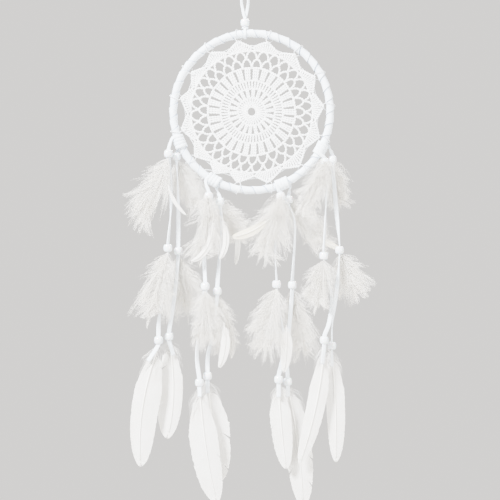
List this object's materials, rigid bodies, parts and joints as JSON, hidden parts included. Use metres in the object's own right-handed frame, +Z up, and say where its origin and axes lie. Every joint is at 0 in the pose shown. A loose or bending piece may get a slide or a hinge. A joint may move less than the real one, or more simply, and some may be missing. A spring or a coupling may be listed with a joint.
{
  "type": "dream catcher",
  "caption": "Ribbon-wrapped hoop with a crocheted doily lashed inside and knotted laces that carry beads, down and long feathers, hung from a loop.",
  "frame": {"origin": "inner top of the hanging loop, where it rests on its hook", "axes": "+Z up, the hoop faces -Y, +X to the right seen from the front"},
  "size_m": [0.2259, 0.0282, 0.4994],
  "materials": {
    "core": "matte",
    "ribbon": "matte",
    "cotton": "matte",
    "lace": "matte",
    "bead": "gloss",
    "down": "matte",
    "feather": "satin"
  },
  "bodies": {
    "hanger": {"hanging_loop": "lace", "top_bead": "bead"},
    "hoop": {"hoop_core": "core", "hoop_wrap": "ribbon", "crochet_doily": "cotton", "lashing_thread": "cotton", "left_lace": "lace", "lower_left_lace": "lace", "lower_right_lace": "lace", "right_lace": "lace"},
    "left_front_strand": {"left_front_upper_bead": "bead", "left_front_upper_fluff": "down", "left_front_mid_bead": "bead", "left_front_mid_fluff": "down"},
    "left_front_tip": {"left_front_end_bead": "bead", "left_front_feather": "feather"},
    "left_back_strand": {"left_back_upper_bead": "bead", "left_back_upper_fluff": "down", "left_back_mid_bead": "bead", "left_back_mid_fluff": "down"},
    "left_back_tip": {"left_back_end_bead": "bead", "left_back_feather": "feather"},
    "lower_left_front_strand": {"lower_left_front_upper_bead": "bead", "lower_left_front_upper_fluff": "down", "lower_left_front_mid_bead": "bead", "lower_left_front_mid_fluff": "down"},
    "lower_left_front_tip": {"lower_left_front_end_bead": "bead", "lower_left_front_feather": "feather"},
    "lower_left_back_strand": {"lower_left_back_upper_bead": "bead", "lower_left_back_upper_fluff": "down", "lower_left_back_mid_bead": "bead", "lower_left_back_mid_fluff": "down"},
    "lower_left_back_tip": {"lower_left_back_end_bead": "bead", "lower_left_back_feather": "feather"},
    "lower_right_front_strand": {"lower_right_front_upper_bead": "bead", "lower_right_front_upper_fluff": "down", "lower_right_front_mid_bead": "bead", "lower_right_front_mid_fluff": "down"},
    "lower_right_front_tip": {"lower_right_front_end_bead": "bead", "lower_right_front_feather": "feather"},
    "lower_right_back_strand": {"lower_right_back_upper_bead": "bead", "lower_right_back_upper_fluff": "down", "lower_right_back_mid_bead": "bead", "lower_right_back_mid_fluff": "down"},
    "lower_right_back_tip": {"lower_right_back_end_bead": "bead", "lower_right_back_feather": "feather"},
    "right_front_strand": {"right_front_upper_bead": "bead", "right_front_upper_fluff": "down", "right_front_mid_bead": "bead", "right_front_mid_fluff": "down"},
    "right_front_tip": {"right_front_end_bead": "bead", "right_front_feather": "feather"},
    "right_back_strand": {"right_back_upper_bead": "bead", "right_back_upper_fluff": "down", "right_back_mid_bead": "bead", "right_back_mid_fluff": "down"},
    "right_back_tip": {"right_back_end_bead": "bead", "right_back_feather": "feather"}
  },
  "joints": [
    {"name": "hoop_swing", "type": "hinge", "parent": "hanger", "child": "hoop", "pos_m": [-0.00003, 0, -0.04069], "axis": [0.9962, 0, 0.0872], "range_deg": [-40, 40]},
    {"name": "left_front_swing", "type": "hinge", "parent": "hoop", "child": "left_front_strand", "pos_m": [-0.0739, -0.0043, -0.154], "axis": [1, 0, 0], "range_deg": [-45, 0], "deforming": ["left_lace"]},
    {"name": "left_front_tip_swing", "type": "hinge", "parent": "left_front_strand", "child": "left_front_tip", "pos_m": [-0.0834, -0.0043, -0.334], "axis": [1, 0, 0], "range_deg": [-50, 0], "deforming": ["left_lace"]},
    {"name": "left_back_swing", "type": "hinge", "parent": "hoop", "child": "left_back_strand", "pos_m": [-0.0664, 0.0043, -0.156], "axis": [1, 0, 0], "range_deg": [0, 45], "deforming": ["left_lace"]},
    {"name": "left_back_tip_swing", "type": "hinge", "parent": "left_back_strand", "child": "left_back_tip", "pos_m": [-0.0739, 0.0043, -0.331], "axis": [1, 0, 0], "range_deg": [0, 50], "deforming": ["left_lace"]},
    {"name": "lower_left_front_swing", "type": "hinge", "parent": "hoop", "child": "lower_left_front_strand", "pos_m": [-0.0349, -0.0043, -0.195], "axis": [1, 0, 0], "range_deg": [-45, 0], "deforming": ["lower_left_lace"]},
    {"name": "lower_left_front_tip_swing", "type": "hinge", "parent": "lower_left_front_strand", "child": "lower_left_front_tip", "pos_m": [-0.0439, -0.0043, -0.375], "axis": [1, 0, 0], "range_deg": [-50, 0], "deforming": ["lower_left_lace"]},
    {"name": "lower_left_back_swing", "type": "hinge", "parent": "hoop", "child": "lower_left_back_strand", "pos_m": [-0.0244, 0.0043, -0.2], "axis": [1, 0, 0], "range_deg": [0, 45], "deforming": ["lower_left_lace"]},
    {"name": "lower_left_back_tip_swing", "type": "hinge", "parent": "lower_left_back_strand", "child": "lower_left_back_tip", "pos_m": [-0.0364, 0.0043, -0.3695], "axis": [1, 0, 0], "range_deg": [0, 50], "deforming": ["lower_left_lace"]},
    {"name": "lower_right_front_swing", "type": "hinge", "parent": "hoop", "child": "lower_right_front_strand", "pos_m": [0.0346, -0.0043, -0.195], "axis": [1, 0, 0], "range_deg": [-45, 0], "deforming": ["lower_right_lace"]},
    {"name": "lower_right_front_tip_swing", "type": "hinge", "parent": "lower_right_front_strand", "child": "lower_right_front_tip", "pos_m": [0.0326, -0.0043, -0.372], "axis": [1, 0, 0], "range_deg": [-50, 0], "deforming": ["lower_right_lace"]},
    {"name": "lower_right_back_swing", "type": "hinge", "parent": "hoop", "child": "lower_right_back_strand", "pos_m": [0.0426, 0.0043, -0.198], "axis": [1, 0, 0], "range_deg": [0, 45], "deforming": ["lower_right_lace"]},
    {"name": "lower_right_back_tip_swing", "type": "hinge", "parent": "lower_right_back_strand", "child": "lower_right_back_tip", "pos_m": [0.0416, 0.0043, -0.375], "axis": [1, 0, 0], "range_deg": [0, 50], "deforming": ["lower_right_lace"]},
    {"name": "right_front_swing", "type": "hinge", "parent": "hoop", "child": "right_front_strand", "pos_m": [0.0771, -0.0043, -0.162], "axis": [1, 0, 0], "range_deg": [-45, 0], "deforming": ["right_lace"]},
    {"name": "right_front_tip_swing", "type": "hinge", "parent": "right_front_strand", "child": "right_front_tip", "pos_m": [0.0766, -0.0043, -0.334], "axis": [1, 0, 0], "range_deg": [-50, 0], "deforming": ["right_lace"]},
    {"name": "right_back_swing", "type": "hinge", "parent": "hoop", "child": "right_back_strand", "pos_m": [0.0851, 0.0043, -0.159], "axis": [1, 0, 0], "range_deg": [0, 45], "deforming": ["right_lace"]},
    {"name": "right_back_tip_swing", "type": "hinge", "parent": "right_back_strand", "child": "right_back_tip", "pos_m": [0.0846, 0.0043, -0.34], "axis": [1, 0, 0], "range_deg": [0, 50], "deforming": ["right_lace"]}
  ]
}
